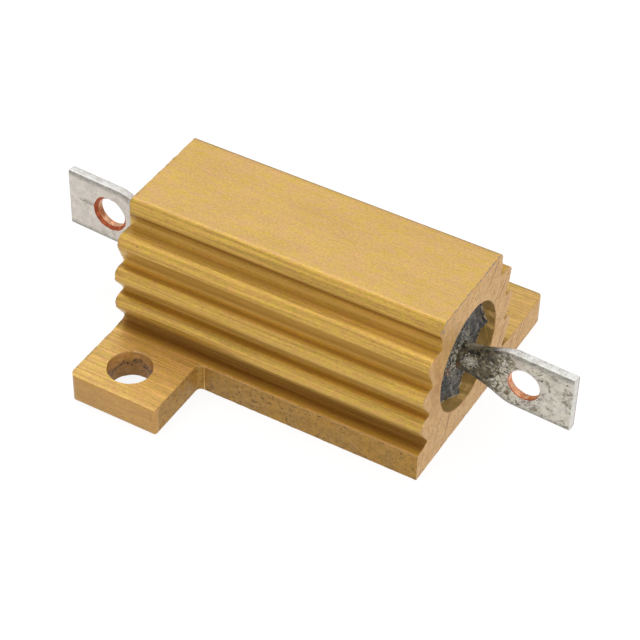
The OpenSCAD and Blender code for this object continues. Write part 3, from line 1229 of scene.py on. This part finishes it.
    def marks_at(self, point: Vector) -> dict[str, float]:
        """Gives the painted shade and light between the fins at a point.

        Args:
            point: a place on the housing.

        Returns:
            Painted shade above 0, in the brown lines under each fin and along the far top edge, and
            painted light below 0, on the grooves' floors.
        """
        g, top, low = self.groove_y, self.fin_top, self.flange_t
        seats = [  # place across and up, reach, strength: painted shade above 0, painted light below 0
            (g[0] + 0.05, top[0] + 1.1, 0.32, 0.6),
            (g[0] + 0.4, top[0], 0.35, 0.35),
            (g[1] + 0.3, top[1], 0.45, 0.5),
            (g[2] + 0.2, top[2], 0.4, 0.5),
            (g[3] + 0.35, low + 0.1, 1.2, 0.7),
            # painted light on the grooves' floors and under the fins
            (g[0], top[0] + 0.3, 0.5, -0.65),
            (g[1], top[1] + 0.2, 0.5, -0.9),
            (g[2], top[2] + 0.2, 0.4, -0.5),
            (g[1] + 0.5, top[1] + 1.0, 1.1, -0.3),
            (g[2] + 0.6, top[2] + 1.2, 1.2, -0.6),
            (g[3] + 0.6, low + 1.4, 1.1, -0.5),
        ]
        # painted shade along the far top edge
        if point.y > 0:
            seats.append((self.top_w / 2 - 0.2, self.size.z, 0.35, 0.7))
        here = (abs(point.y), point.z)
        return {"depth": sum(depth * ease(1 - math.dist(here, (y, z)) / reach)
                             for y, z, reach, depth in seats)}

    def build(self) -> Object:
        """Builds and dresses the housing.

        Returns:
            The finished piece.
        """
        body = self.bar()
        self.bore(body)
        for turn in (1, -1):
            self.mill_away(body, turn)
        for turn in (1, -1):
            self.drill(body, turn)
            self.ease_corner(body, turn)
        mend(body)
        smooth_by_angle(body, 32)
        for finish in self.finishes().values():
            body.data.materials.append(finish.material())
        faces = [self.face_of(p.center / MM, p.normal) for p in body.data.polygons]
        body.data.polygons.foreach_set("material_index", faces)
        mark_points(body, self.marks_at)
        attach(body, "root")
        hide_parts(self.node)
        return body


# ------------------------------------------------------------------ moulding

CHALK = PlainFinish("chalky_residue", "#d3ccba", "#8a8472", 0.8, 0.0, 0.12)


def crumble(piece: Object, seed: int) -> None:
    """Scatters chalky crumbs over a piece in a geometry tree, and joins them to it.

    Args:
        piece: the piece, whose "crumbs" attribute says how thickly they lie.
        seed: the seed of their places and sizes.
    """
    chalk = CHALK.material()
    piece.data.materials.append(chalk)
    tree, given, result = new_tree("crumbs", {
        "Density": "NodeSocketFloat", "Largest": "NodeSocketFloat", "Seed": "NodeSocketInt"})
    body, largest, chance = (given.outputs[name] for name in ("Geometry", "Largest", "Seed"))
    where = add(tree, "GeometryNodeInputNamedAttribute", {"Name": "crumbs"}, data_type="FLOAT")
    dense = add(tree, "ShaderNodeMath", {0: where.outputs[0], 1: given.outputs["Density"]},
                operation="MULTIPLY").outputs[0]
    spread = add(tree, "GeometryNodeDistributePointsOnFaces", {
        "Mesh": body, "Density": dense, "Seed": chance}, distribute_method="RANDOM")
    ball = add(tree, "GeometryNodeMeshIcoSphere", {"Radius": largest, "Subdivisions": 1})
    size = add(tree, "FunctionNodeRandomValue", {
        0: (0.25, 0.25, 0.2), 1: (1.0, 1.0, 0.7), "Seed": chance}, data_type="FLOAT_VECTOR")
    placed = add(tree, "GeometryNodeInstanceOnPoints", {
        "Points": spread.outputs["Points"], "Instance": ball.outputs[0],
        "Rotation": spread.outputs["Rotation"], "Scale": size.outputs[0]}).outputs[0]
    real = add(tree, "GeometryNodeRealizeInstances", {"Geometry": placed}).outputs[0]
    chalky = add(tree, "GeometryNodeSetMaterial", {"Geometry": real, "Material": chalk})
    both = add(tree, "GeometryNodeJoinGeometry")
    tree.links.new(chalky.outputs[0], both.inputs[0])
    tree.links.new(body, both.inputs[0])
    tree.links.new(both.outputs[0], result.inputs[0])
    run_tree(piece, tree, {"Density": 60.0 / MM**2, "Largest": 0.09 * MM, "Seed": seed})


@dataclass
class Moulding:
    """The black compound that fills the bore, rough where it ends inside the two mouths."""

    node: str = "encapsulant"
    bore_z: float = 6.55
    outer_r: float = 4.43
    stem_r: float = 1.12
    cavity_r: float = 3.3
    cavity_x: float = 10.0  # half length of the hollow round the element
    collar_h: float = 0.35
    grit: float = 0.11  # height of the lumps on the ends
    cusps: tuple[float, ...] = (-2.0, -87.0, 62.0, 118.0, 176.0, -140.0)  # where it climbs the wall
    sides: int = 240
    low: Vector = field(init=False)
    high: Vector = field(init=False)

    def __post_init__(self) -> None:
        """Takes the moulding's ends from the frame."""
        low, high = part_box(self.node)
        self.low, self.high = low / MM, high / MM

    def end_x(self, side: int, r: float, a: float) -> float:
        """Gives how far out the compound stands at one end.

        Args:
            side: 1 for the right-hand end, -1 for the left-hand end.
            r: distance from the bore's axis.
            a: angle round the axis.

        Returns:
            The distance along X from the middle, without sign.
        """
        face = (self.high.x if side > 0 else -self.low.x) - self.collar_h
        at = (side * 5.0, r * math.cos(a), r * math.sin(a))
        lumps = self.grit * (rough(at, 0.9, 2.0) + 0.7 * rough(at, 0.35, 4.0))
        collar = self.collar_h * max(0.0, 1 - (r - self.stem_r) / 0.9) ** 2
        turns = [math.remainder(a - math.radians(t), 2 * math.pi) for t in self.cusps]
        cusp = max(math.exp(-abs(t) / math.radians(8)) for t in turns)
        climb = ease((r - 3.0) / 1.35) * (-0.34 + 0.62 * cusp)
        return face + min(self.collar_h - 0.01, lumps + collar + climb)

    def build(self) -> Object:
        """Builds the compound as one closed ring of revolution round the element.

        Returns:
            The finished piece.
        """
        radii = np.linspace(self.stem_r, self.outer_r, 48)
        profile = [(False, self.cavity_r), (False, self.stem_r), *((True, r) for r in radii)]
        angles = [2 * math.pi * i / self.sides for i in range(self.sides)]
        rings = []
        for side, line in ((-1, profile), (1, profile[::-1])):
            for at_end, r in line:
                rings.append([
                    (side * (self.end_x(side, r, a) if at_end else self.cavity_x),
                     r * math.cos(a), self.bore_z + r * math.sin(a)) for a in angles])
        piece = lofted("compound_filling", rings, loop=True)
        piece.data.materials.append(MouldingCompound().material())
        mark_points(piece, self.marks_at)
        crumble(piece, 5)
        smooth_by_angle(piece, 60)
        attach(piece, "root")
        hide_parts(self.node)
        return piece

    def marks_at(self, point: Vector) -> dict[str, float]:
        """Gives the pale film and the crumbs at a point.

        Args:
            point: a place on the compound.

        Returns:
            The film, which is full on the rim against the bore, and the share of crumbs, which is
            highest below the neck, on the side of the blade's face.
        """
        y, z = point.y, point.z - self.bore_z
        r = math.hypot(y, z)
        if abs(point.x) <= self.cavity_x + 0.5:
            return {"film": 0.0, "crumbs": 0.0}
        heap = ease(1 - math.dist((y, z), (-1.2, -0.3)) / 1.0)
        strewn = 0.7 * heap + 0.15 * ease(1 - (r - self.stem_r) / 1.5)
        return {"film": ease((r - self.outer_r + 0.22) / 0.2),
                "crumbs": strewn if r >= self.stem_r else 0.0}


# ------------------------------------------------------------------ terminals


class BladeFace(IntEnum):
    """The kinds of face of a terminal, in the order of its materials."""

    TIN = 0
    HOLE_WALL = 1
    BROKEN_RIM = 2
    ROLLED_EDGE = 3
    SHEARED_EDGE = 4


COPPER = (
    PlainFinish("copper_hole_wall", "#f6cba6", "#d07a42", 0.28, 0.4, 0.4),
    PlainFinish("copper_broken_rim", "#cc6a38", "#9a4422", 0.45, 0.4, 0.4),
    PlainFinish("tinned_copper_rolled_edge", "#dedbd4", "#bab9b0", 0.34, 0.6, 0.3),
    PlainFinish("copper_sheared_edge", "#a4605a", "#6e4a40", 0.4, 0.4, 0.3),
)


@dataclass
class Terminal:
    """A tinned copper rod whose outer end is flattened into a pierced blade.

    It is built as the right-hand one, from the middle of the bore's axis, and turned half round
    for the left-hand end.
    """

    node: str
    piece_name: str
    turn: int  # 1 at the right-hand end, -1 at the left-hand one
    blade_w: float
    tin: TinnedCopper
    pits_from_eye: Point  # where pits crowd together, from the eye's middle
    soot_l: float  # how far the soot reaches along the rod, from the flare's inner end
    crumbs: int | None = None  # seed of the crumbs on the neck
    set_angle: float = 3.0
    stem_r: float = 1.1
    blade_t: float = 0.8
    blade_edge_r: float = 0.16
    blade_l: float = 4.8
    flare_l: float = 4.5
    eye_d: float = 2.62
    eye_from_tip: float = 4.0
    eye_break: Flat = (0.05, 0.25)  # width of its broken rim on each face
    shift: float = -0.15
    bore_z: float = 6.55
    tip: float = field(init=False)

    def __post_init__(self) -> None:
        """Takes the tip's place from the frame."""
        low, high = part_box(self.node)
        reach = high.x if self.turn > 0 else -low.x
        lean = self.blade_t / 2 * math.sin(math.radians(self.set_angle))
        self.tip = reach / MM - self.turn * self.shift - lean

    @property
    def flare(self) -> float:
        """The place of the flare's inner end along the rod."""
        return self.tip - self.blade_l - self.flare_l

    @property
    def eye(self) -> Vector:
        """The middle of the blade's hole on the finished piece."""
        x = self.tip - self.eye_from_tip
        return Vector((self.turn * x + self.shift, -self.turn * self.offset(x), self.bore_z))

    def section_at(self, x: float) -> tuple[float, float, float]:
        """Gives the section at a place along the rod.

        Args:
            x: the place.

        Returns:
            Half thickness, half height and edge radius.
        """
        t = ease((x - self.flare) / self.flare_l)
        half_w = mix(self.stem_r, self.blade_w / 2, t)
        edge = mix(self.stem_r, self.blade_edge_r, t)
        corner = 4 - math.pi
        blade = self.blade_w * self.blade_t - corner * self.blade_edge_r**2
        area = mix(math.pi * self.stem_r**2, blade, t)
        half_t = (area + corner * edge * edge) / (4 * half_w)
        return half_t, half_w, min(edge, half_t)

    def offset(self, x: float) -> float:
        """Gives how far the rod is set sideways.

        Args:
            x: a place along it.

        Returns:
            The distance.
        """
        bend = self.flare_l / 3
        d = max(0.0, x - self.flare)
        bent = min(d, bend)
        return math.tan(math.radians(self.set_angle)) * (bent * bent / (2 * bend) + d - bent)

    def slope(self, x: float) -> float:
        """Gives the sideways slope at a place along the rod."""
        d = (x - self.flare) / (self.flare_l / 3)
        return math.tan(math.radians(self.set_angle)) * min(1.0, max(0.0, d))

    def ring(self, x: float, inset: float = 0.0, least: float = 0.004) -> list[Point]:
        """Gives the section's points at a place along the rod, square to its line.

        Args:
            x: the place.
            inset: how much smaller the section is all round.
            least: half of the shortest flat between two of its rounded edges.

        Returns:
            The points.
        """
        half_t, half_w, edge = self.section_at(x)
        half_t, half_w = half_t - inset, half_w - inset
        edge = min(edge, half_t)
        flat_t, flat_w = max(half_t - edge, least), max(half_w - edge, least)
        section: list[Flat] = []
        for q, (sy, sz) in enumerate(((1, 1), (-1, 1), (-1, -1), (1, -1))):
            section += arc(sy * flat_t, sz * flat_w, edge, 90 * q, 90 * (q + 1), 6)
            if q % 2:
                section += [(sy * half_t, sz * flat_w * mix(1, -1, s / 13)) for s in range(1, 13)]
            else:
                section += [(sy * flat_t * s, section[-1][1]) for s in (0.33, -0.33)]
        slope, middle = self.slope(x), -self.offset(x)
        size = math.hypot(1, slope)
        return [(x + y * slope / size, middle + y / size, z) for y, z in section]

    def rings(self) -> list[list[Point]]:
        """Gives all the rod's sections.

        Returns:
            The rings of points, from the inner end to the rounded tip.
        """
        places = [10.3, 11.2, 12.1, 12.6, *np.linspace(self.flare, self.tip - 0.3, 56)]
        tip = ((0.1, 0.0), (0.04, 0.015), (0.012, 0.035), (0.0, 0.06), (0.0, 0.15))
        return [self.ring(x) for x in places] + [
            self.ring(self.tip - back, inset) for back, inset in tip]

    def punch(self) -> Object:
        """Builds the punch for the blade's hole, with its broken rims.

        Returns:
            The cutter.
        """
        x = self.tip - self.eye_from_tip
        r, half, (front, back) = self.eye_d / 2, self.blade_t / 2, self.eye_break
        levels = ((-2.0, front), (-half, front), (-half + front, 0.0),
                  (half - back, 0.0), (half, back), (2.0, back))
        angle = math.radians(self.set_angle)
        cos, sin, middle = math.cos(angle), math.sin(angle), -self.offset(x)
        rings = []
        for y, grow in levels:
            ring = []
            for c, s in circle(72):
                wide = r + grow * (1 + 0.25 * rough((c * 2, s * 2, y), 1.0, 1.0))
                u = wide * c
                ring.append((x + u * cos + y * sin, middle - u * sin + y * cos, wide * s))
            rings.append(ring)
        return lofted("punch", rings, inside_out=True)

    def build(self) -> Object:
        """Builds and dresses the terminal.

        Returns:
            The finished piece.
        """
        piece = lofted(self.piece_name, self.rings())
        carve(piece, self.punch())
        for v in piece.data.vertices:
            x, y, z = v.co
            v.co = Vector((self.turn * x + self.shift * MM, self.turn * y, z + self.bore_z * MM))
        smooth_by_angle(piece, 40)
        self.dress(piece)
        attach(piece, "root")
        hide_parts(self.node)
        return piece

    def dress(self, piece: Object) -> None:
        """Gives the blade its tin, its hole the bare copper and its neck soot and crumbs.

        Args:
            piece: the terminal.
        """
        tin = replace(self.tin, low_at=tuple(self.eye + Vector((-0.9 * self.turn, 0, -1.9))),
                      pits_at=tuple(self.eye + Vector(self.pits_from_eye)))
        for finish in (tin, *COPPER):
            piece.data.materials.append(finish.material())
        faces = [self.face_of(p.center / MM, p.normal) for p in piece.data.polygons]
        piece.data.polygons.foreach_set("material_index", faces)
        mark_points(piece, self.marks_at)
        if self.crumbs is not None:
            crumble(piece, self.crumbs)

    def face_of(self, centre: Vector, normal: Vector) -> BladeFace:
        """Tells which kind of face a face is.

        Args:
            centre: its middle.
            normal: its outward normal.

        Returns:
            The kind.
        """
        angle = math.radians(self.set_angle)
        along = Vector((math.cos(angle), -math.sin(angle), 0))
        across = Vector((math.sin(angle), math.cos(angle), 0))
        away = centre - self.eye
        deep = away.dot(across)
        tilt = abs(normal.dot(across))
        if (away - across * deep).length < self.eye_d / 2 + 0.3 and tilt < 0.95:
            return BladeFace.HOLE_WALL if tilt < 0.2 else BladeFace.BROKEN_RIM
        if self.turn * away.dot(along) <= self.eye_from_tip - 0.05:
            return BladeFace.TIN
        border = deep > self.blade_t / 2 - 0.17 or -away.z > self.blade_w / 2 - 0.15
        return BladeFace.SHEARED_EDGE if border else BladeFace.ROLLED_EDGE

    def marks_at(self, point: Vector) -> dict[str, float]:
        """Gives the stains and worn edges at a point.

        Args:
            point: a place on the terminal.

        Returns:
            The soot of the neck, the worn rim and the painted highlight along the blade's edges,
            and the share of crumbs on the neck.
        """
        low = self.bore_z - point.z
        x = self.turn * (point.x - self.shift)
        far = x - self.flare
        _, high, edge = self.section_at(min(x, self.tip))
        blade = ease((far - 1.6) / 2.5)
        corner = 0.02 < high - abs(low) < edge + 0.02
        heap = ease(1 - (point - Vector((13.95, -1.0, 7.0))).length / 0.85)
        top = ease(1 - (point - Vector((13.7, 0.3, 7.6))).length / 1.0)
        return {
            "soot": ease(1.06 - (far + 0.25 * low) / self.soot_l),
            "rim": blade if corner or self.tip - x < 0.02 else 0.0,
            # painted highlight on the blade's narrow faces
            "band": blade * ease((abs(low) - high + 0.05) / 0.04),
            "crumbs": 0.9 * heap + 0.2 * top,
        }


# ------------------------------------------------------------------ what stays inside


def dress_element() -> None:
    """Gives the core, winding and end caps, which stay as the frame has them, their materials."""
    steel = PlainFinish("drawn_steel", "#b4b5b6", "#97989a", 0.35, 1.0, 0.5).material()
    inside = {
        "core": PlainFinish("alumina_rod", "#ece7db", "#ddd6c6", 0.6, 0.0, 0.4).material(),
        "winding": PlainFinish(
            "nickel_chrome_wire", "#9a948a", "#7d766c", 0.35, 1.0, 0.3).material(),
        "end_cap_left": steel,
        "end_cap_right": steel,
    }
    for node, material in inside.items():
        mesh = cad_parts[node].data
        mesh.materials.clear()
        mesh.materials.append(material)


# ------------------------------------------------------------------ studio


@dataclass(frozen=True)
class Lamp:
    """One soft square lamp that faces the object."""

    name: str
    at: Point
    size: float  # length of its side
    watts: float

    def hang(self) -> None:
        """Hangs the lamp in the scene."""
        data = bpy.data.lights.new(self.name, "AREA")
        data.shape = "SQUARE"
        data.size = self.size * MM
        data.energy = self.watts
        made = bpy.data.objects.new(self.name, data)
        place = Vector(self.at) * MM
        facing = (-place).to_track_quat("-Z", "Y").to_matrix().to_4x4()
        made.matrix_world = Matrix.Translation(place) @ facing
        bpy.context.scene.collection.objects.link(made)


@dataclass
class Studio:
    """Floor, light and camera."""

    azimuth: float = 29.13  # in degrees, as are elevation and roll
    elevation: float = 42.11
    roll: float = 1.59
    distance: float = 165.9
    lens: float = 121.75
    aim: Point = (1.27, -0.76, -1.67)  # from the middle of the CAD box
    floor_half: float = 900.0
    floor_z: float = -0.02
    lamps: tuple[Lamp, ...] = (
        Lamp("overhead", (-150, 60, 430), 420, 0.82),
        Lamp("right_side", (430, -80, 160), 300, 0.85),
        Lamp("front", (-60, -430, 80), 480, 0.7),
        Lamp("back", (190, 420, 220), 420, 0.5),
    )

    def camera(self) -> None:
        """Places the camera."""
        low, high = (Vector(corner) for corner in CAD_BOX)
        target = (low + high) / 2 + Vector(self.aim) * MM
        az, el, roll = (math.radians(v) for v in (self.azimuth, self.elevation, self.roll))
        ahead = Vector((-math.sin(az) * math.cos(el), math.cos(az) * math.cos(el), -math.sin(el)))
        level = ahead.cross(Vector((0, 0, 1))).normalized()
        rise = level.cross(ahead)
        right = level * math.cos(roll) + rise * math.sin(roll)
        up = rise * math.cos(roll) - level * math.sin(roll)
        data = bpy.data.cameras.new("camera")
        data.lens = self.lens
        data.sensor_width = 36.0
        data.clip_start = 0.001
        made = bpy.data.objects.new("camera", data)
        spin = Matrix((right, up, -ahead)).transposed().to_4x4()
        made.matrix_world = Matrix.Translation(target - ahead * self.distance * MM) @ spin
        bpy.context.scene.collection.objects.link(made)
        bpy.context.scene.camera = made

    def floor(self) -> None:
        """Lays a white floor that keeps the object's shadow."""
        half = self.floor_half
        corners = [(x, y, self.floor_z) for x, y in
                   ((-half, -half), (half, -half), (half, half), (-half, half))]
        plane = mesh_object("floor", corners, [(0, 1, 2, 3)])
        made = bpy.data.materials.new("white_floor")
        made.use_nodes = True
        tree = made.node_tree
        tree.nodes.clear()
        path = add(tree, "ShaderNodeLightPath").outputs
        seen = add(tree, "ShaderNodeMath", {
            0: path["Is Camera Ray"], 1: path["Is Glossy Ray"]}, operation="ADD").outputs[0]
        seen = add(tree, "ShaderNodeMath", {
            0: seen, 1: path["Is Transmission Ray"]}, operation="ADD", use_clamp=True).outputs[0]
        paint = add(tree, "ShaderNodeBsdfDiffuse", {"Color": linear("#cccccc")}).outputs[0]
        faint = add(tree, "ShaderNodeBsdfDiffuse", {"Color": linear("#767676")}).outputs[0]
        glow = add(tree, "ShaderNodeEmission", {
            "Color": linear("#ffffff"), "Strength": 0.87}).outputs[0]
        white = add(tree, "ShaderNodeAddShader", {0: faint, 1: glow}).outputs[0]
        both = add(tree, "ShaderNodeMixShader", {0: seen, 1: paint, 2: white}).outputs[0]
        add(tree, "ShaderNodeOutputMaterial", {"Surface": both})
        plane.data.materials.append(made)

    def world(self) -> None:
        """Surrounds the scene with an even light, brighter where the camera sees it."""
        world = bpy.data.worlds.new("studio")
        world.use_nodes = True
        tree = world.node_tree
        tree.nodes.clear()
        path = add(tree, "ShaderNodeLightPath").outputs
        even, white = (
            add(tree, "ShaderNodeBackground", {
                "Color": linear("#ffffff"), "Strength": strength}).outputs[0]
            for strength in (0.5, 1.0))
        both = add(tree, "ShaderNodeMixShader", {
            0: path["Is Camera Ray"], 1: even, 2: white}).outputs[0]
        add(tree, "ShaderNodeOutputWorld", {"Surface": both})
        bpy.context.scene.world = world

    def build(self) -> None:
        """Sets up the camera, the floor and the light."""
        self.camera()
        self.floor()
        self.world()
        for lamp in self.lamps:
            lamp.hang()
        bpy.context.scene.view_settings.view_transform = "Standard"


# ------------------------------------------------------------------ the whole


def main() -> None:
    """Builds every piece in order and reports each one."""
    logging.basicConfig(level=logging.INFO, format="%(name)s: %(message)s")
    dress_element()
    clean = TinnedCopper(tin="#e8e1d6", dull="#d2ccbe", soiled=0.25, pits_reach=(1.1, 2.0, 0.32))
    pieces = [
        Housing().build(),
        Moulding().build(),
        Terminal("terminal_left", "lug_left", -1, 5.35, clean, (-2.3, 0.0, 0.25), 3.0).build(),
        Terminal("terminal_right", "lug_right", 1, 5.0, TinnedCopper(), (0.6, 0.0, -1.6), 5.6,
                 crumbs=11).build(),
    ]
    Studio().build()
    for piece in pieces:
        log.info("%s: %d faces", piece.name, len(piece.data.polygons))


if __name__ == "__main__":
    main()
